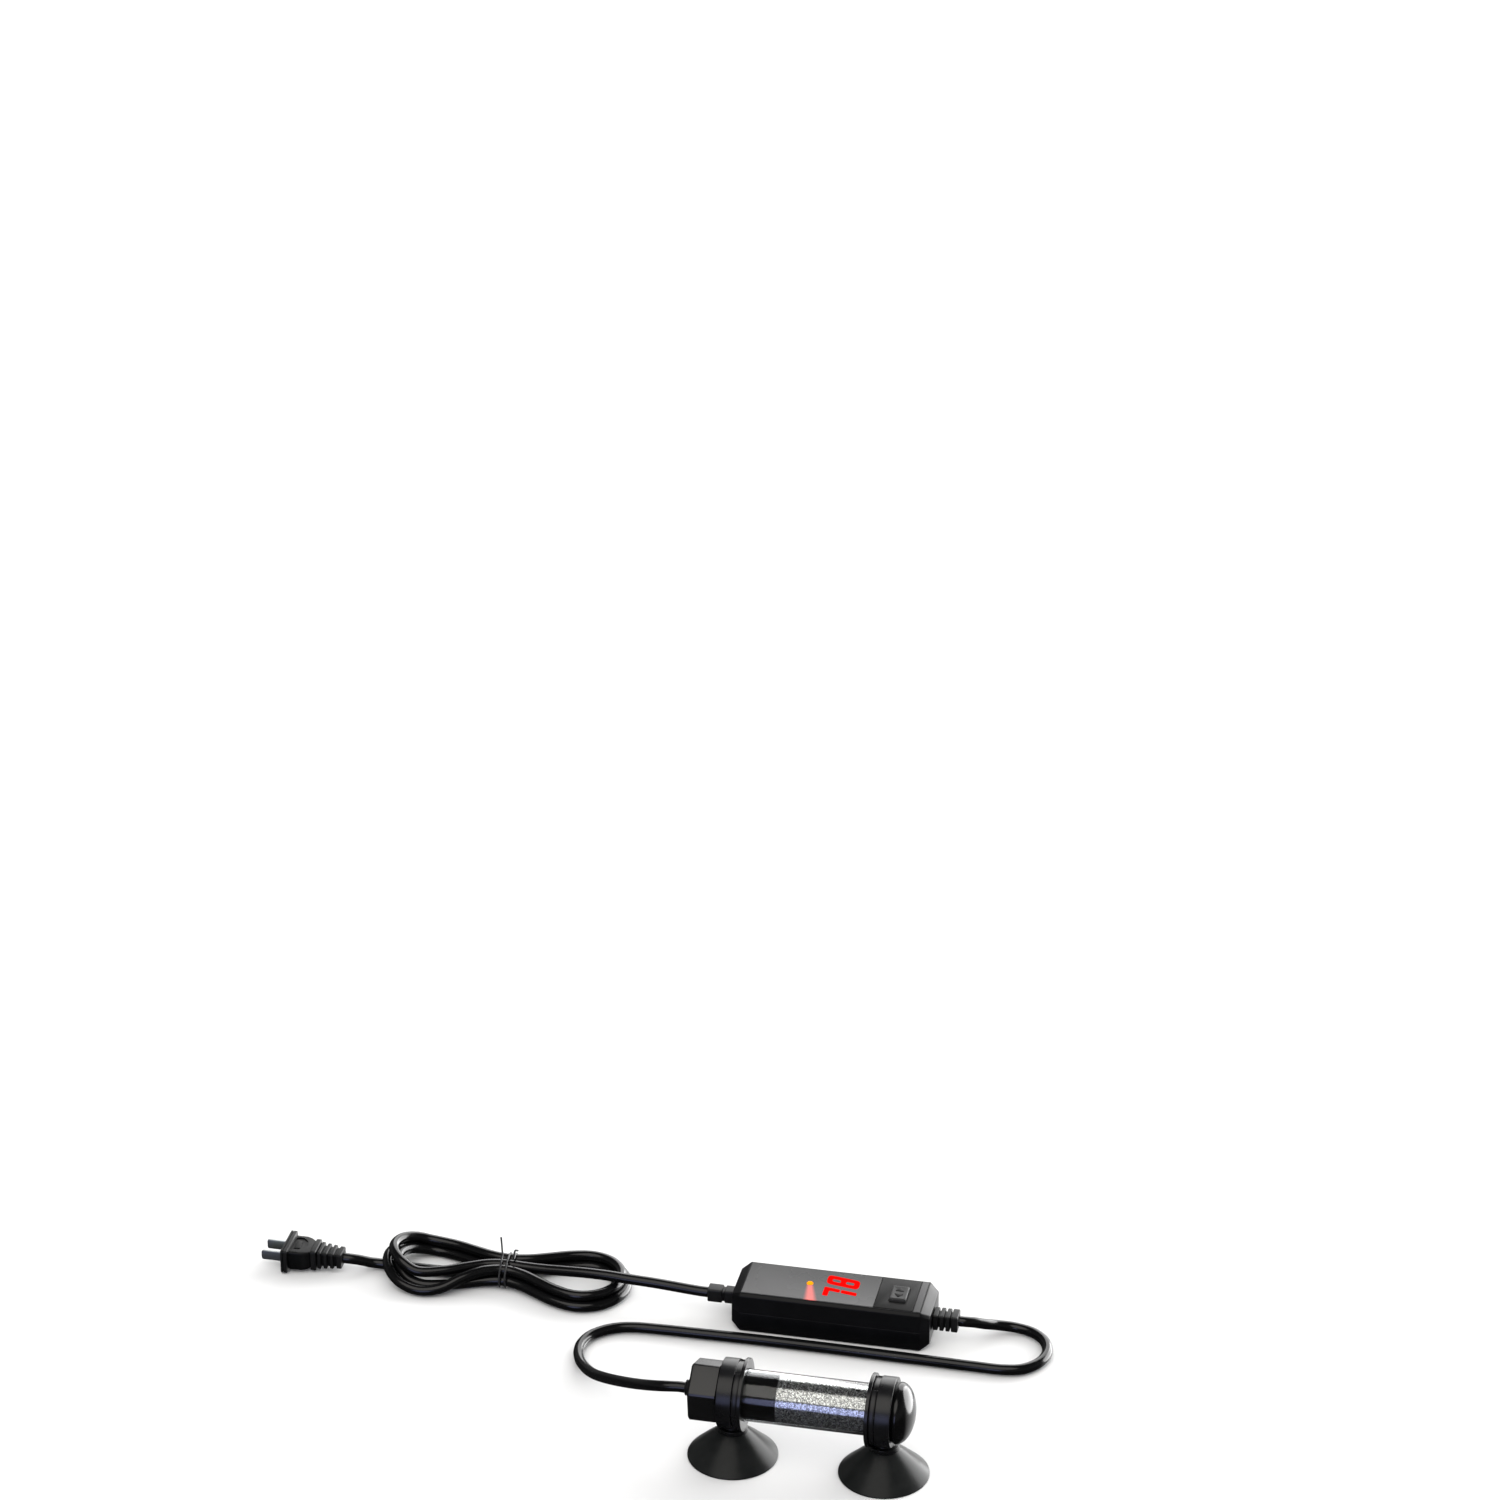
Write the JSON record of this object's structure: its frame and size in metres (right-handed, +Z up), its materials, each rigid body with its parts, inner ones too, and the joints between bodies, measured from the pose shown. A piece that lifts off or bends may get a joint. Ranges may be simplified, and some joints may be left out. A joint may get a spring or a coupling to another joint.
{
  "type": "submersible aquarium heater",
  "caption": "Short glass aquarium heater on suction cups, joined by a lead to an in-line digital thermostat with a tied mains lead and a flat-blade plug.",
  "frame": {"origin": "centre of the footprint of the heater and its thermostat, on the surface they stand on", "axes": "+Z up; +X along the heater's tube, towards its domed end; +Y from the heater towards the thermostat"},
  "size_m": [0.4986, 0.2133, 0.0647],
  "materials": {
    "clear_glass": "clear",
    "quartz_sand": "grainy",
    "black_rubber": "satin",
    "white_ceramic": "matt",
    "steel": "bright",
    "red_sleeve": "satin",
    "white_sleeve": "satin",
    "dark_moulding": "satin",
    "black_plastic": "satin",
    "black_gloss": "gloss",
    "black_satin": "satin",
    "cup_rubber": "soft satin",
    "grey_gloss_panel": "gloss",
    "button_plastic": "satin",
    "circuit_board": "satin",
    "pale_moulding": "satin",
    "transformer_winding": "satin",
    "aluminium": "satin",
    "display_block": "gloss",
    "amber_lens": "clear gloss",
    "lead_sheath": "semi-gloss",
    "tie_wire": "satin",
    "plug_blade": "satin"
  },
  "bodies": {
    "root": {"glass_tube": "clear_glass", "sand_fill": "quartz_sand", "seal_plug_left": "black_rubber", "seal_plug_right": "black_rubber", "ceramic_core": "white_ceramic", "heating_coil": "steel", "lead_wire_live": "red_sleeve", "lead_wire_neutral": "white_sleeve", "thermal_fuse": "steel", "temperature_sensor": "dark_moulding", "left_end_cap": "black_plastic", "right_end_cap": "black_plastic", "tube_gasket_left": "black_rubber", "tube_gasket_right": "black_rubber", "dome_cap": "black_gloss", "gland_nut": "black_plastic", "gland_seal": "black_rubber", "cable_boot": "black_rubber", "lower_case": "black_plastic", "upper_case": "black_plastic", "display_window": "grey_gloss_panel", "button_panel": "black_satin", "panel_strip": "grey_gloss_panel", "circuit_board": "circuit_board", "terminal_block": "pale_moulding", "relay": "dark_moulding", "transformer": "transformer_winding", "capacitor": "aluminium", "display_module": "display_block", "indicator_led": "amber_lens", "tact_switch": "dark_moulding", "case_screw_1": "steel", "case_screw_2": "steel", "case_screw_3": "steel", "case_screw_4": "steel", "mains_relief": "black_rubber", "heater_relief": "black_rubber", "heater_lead": "lead_sheath", "mains_lead": "lead_sheath", "mains_lead_tail": "lead_sheath", "mains_hank": "lead_sheath", "twist_tie": "tie_wire", "plug_body": "black_plastic", "plug_blade_front": "plug_blade", "plug_blade_back": "plug_blade"},
    "left_clip": {"left_clip": "black_satin"},
    "left_cup": {"left_cup": "cup_rubber"},
    "right_clip": {"right_clip": "black_satin"},
    "right_cup": {"right_cup": "cup_rubber"},
    "set_button": {"set_button": "button_plastic"}
  },
  "joints": [
    {"name": "left_clip_turn", "type": "hinge", "parent": "root", "child": "left_clip", "pos_m": [-0.0353, -0.0709, 0.043], "axis": [1, 0, 0], "continuous": true},
    {"name": "left_cup_swivel", "type": "hinge", "parent": "left_clip", "child": "left_cup", "pos_m": [-0.0353, -0.0709, 0.022], "axis": [0, 0, 1], "continuous": true},
    {"name": "right_clip_turn", "type": "hinge", "parent": "root", "child": "right_clip", "pos_m": [0.0553, -0.0709, 0.043], "axis": [1, 0, 0], "continuous": true},
    {"name": "right_cup_swivel", "type": "hinge", "parent": "right_clip", "child": "right_cup", "pos_m": [0.0553, -0.0709, 0.022], "axis": [0, 0, 1], "continuous": true},
    {"name": "set_button_press", "type": "slide", "parent": "root", "child": "set_button", "axis": [0, 0, -1], "range_m": [0, 0.0007], "stiffness_N_per_m": 500}
  ]
}
